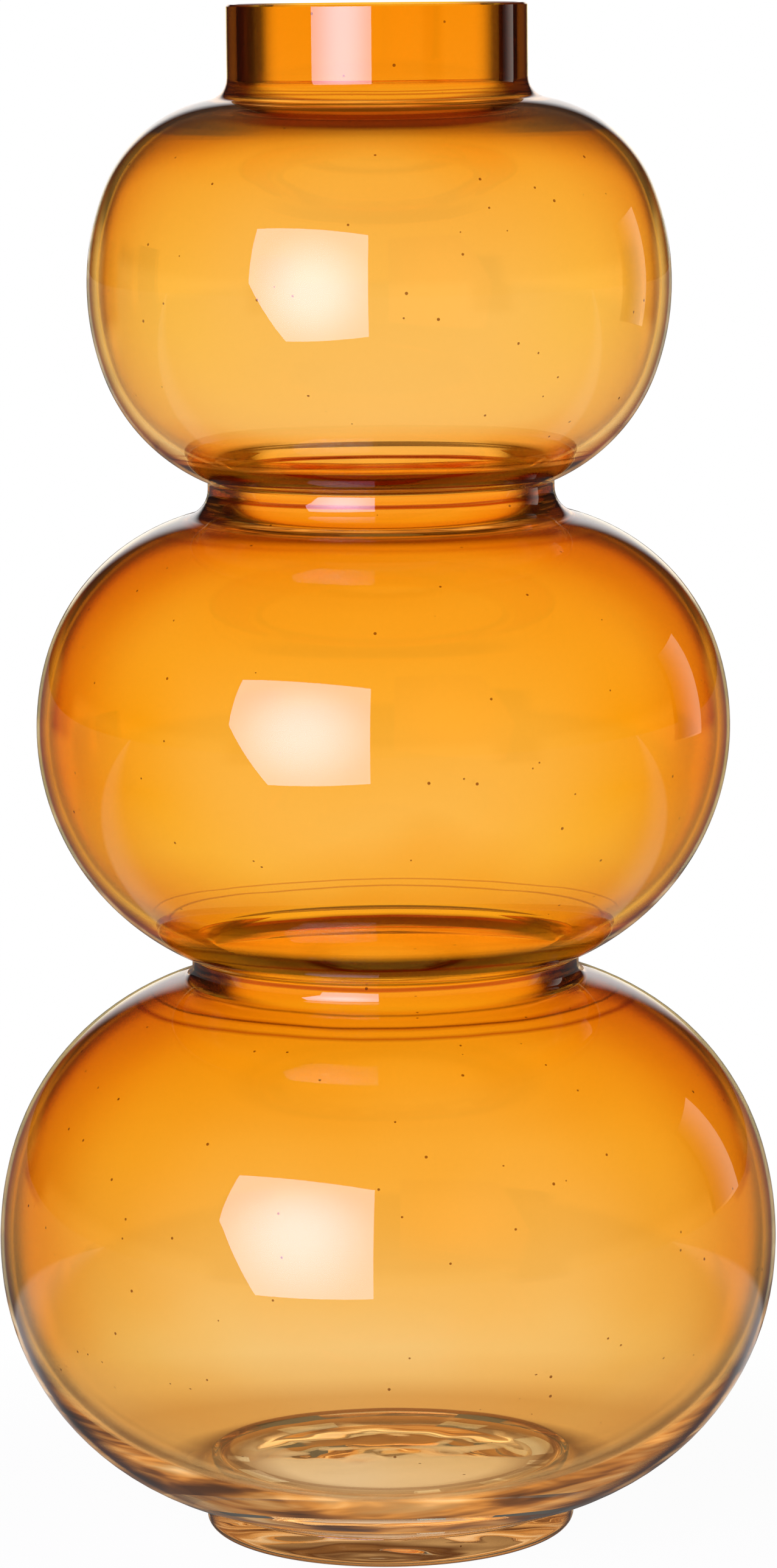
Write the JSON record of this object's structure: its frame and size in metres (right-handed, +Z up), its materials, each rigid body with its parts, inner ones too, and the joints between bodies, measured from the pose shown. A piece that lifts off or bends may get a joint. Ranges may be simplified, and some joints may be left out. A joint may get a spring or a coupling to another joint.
{
  "type": "vase",
  "caption": "Tall blown glass vase of stacked round bulbs with narrow waists, a short straight collar and a thick round foot.",
  "frame": {"origin": "centre of the underside of the foot, on the vase's axis, level with the surface that it stands on", "axes": "+Z up along the axis to the rim; -Y faces the picture's viewpoint; +X is the picture's right"},
  "size_m": [0.2045, 0.2046, 0.4],
  "materials": {
    "amber_glass": "clear blown glass, tinted amber from the collar down and paler at the base",
    "foot_glass": "clear thick glass with a light brown tint, polished hollow underneath"
  },
  "bodies": {
    "root": {"blown_body": "amber_glass", "foot": "foot_glass"}
  },
  "joints": []
}
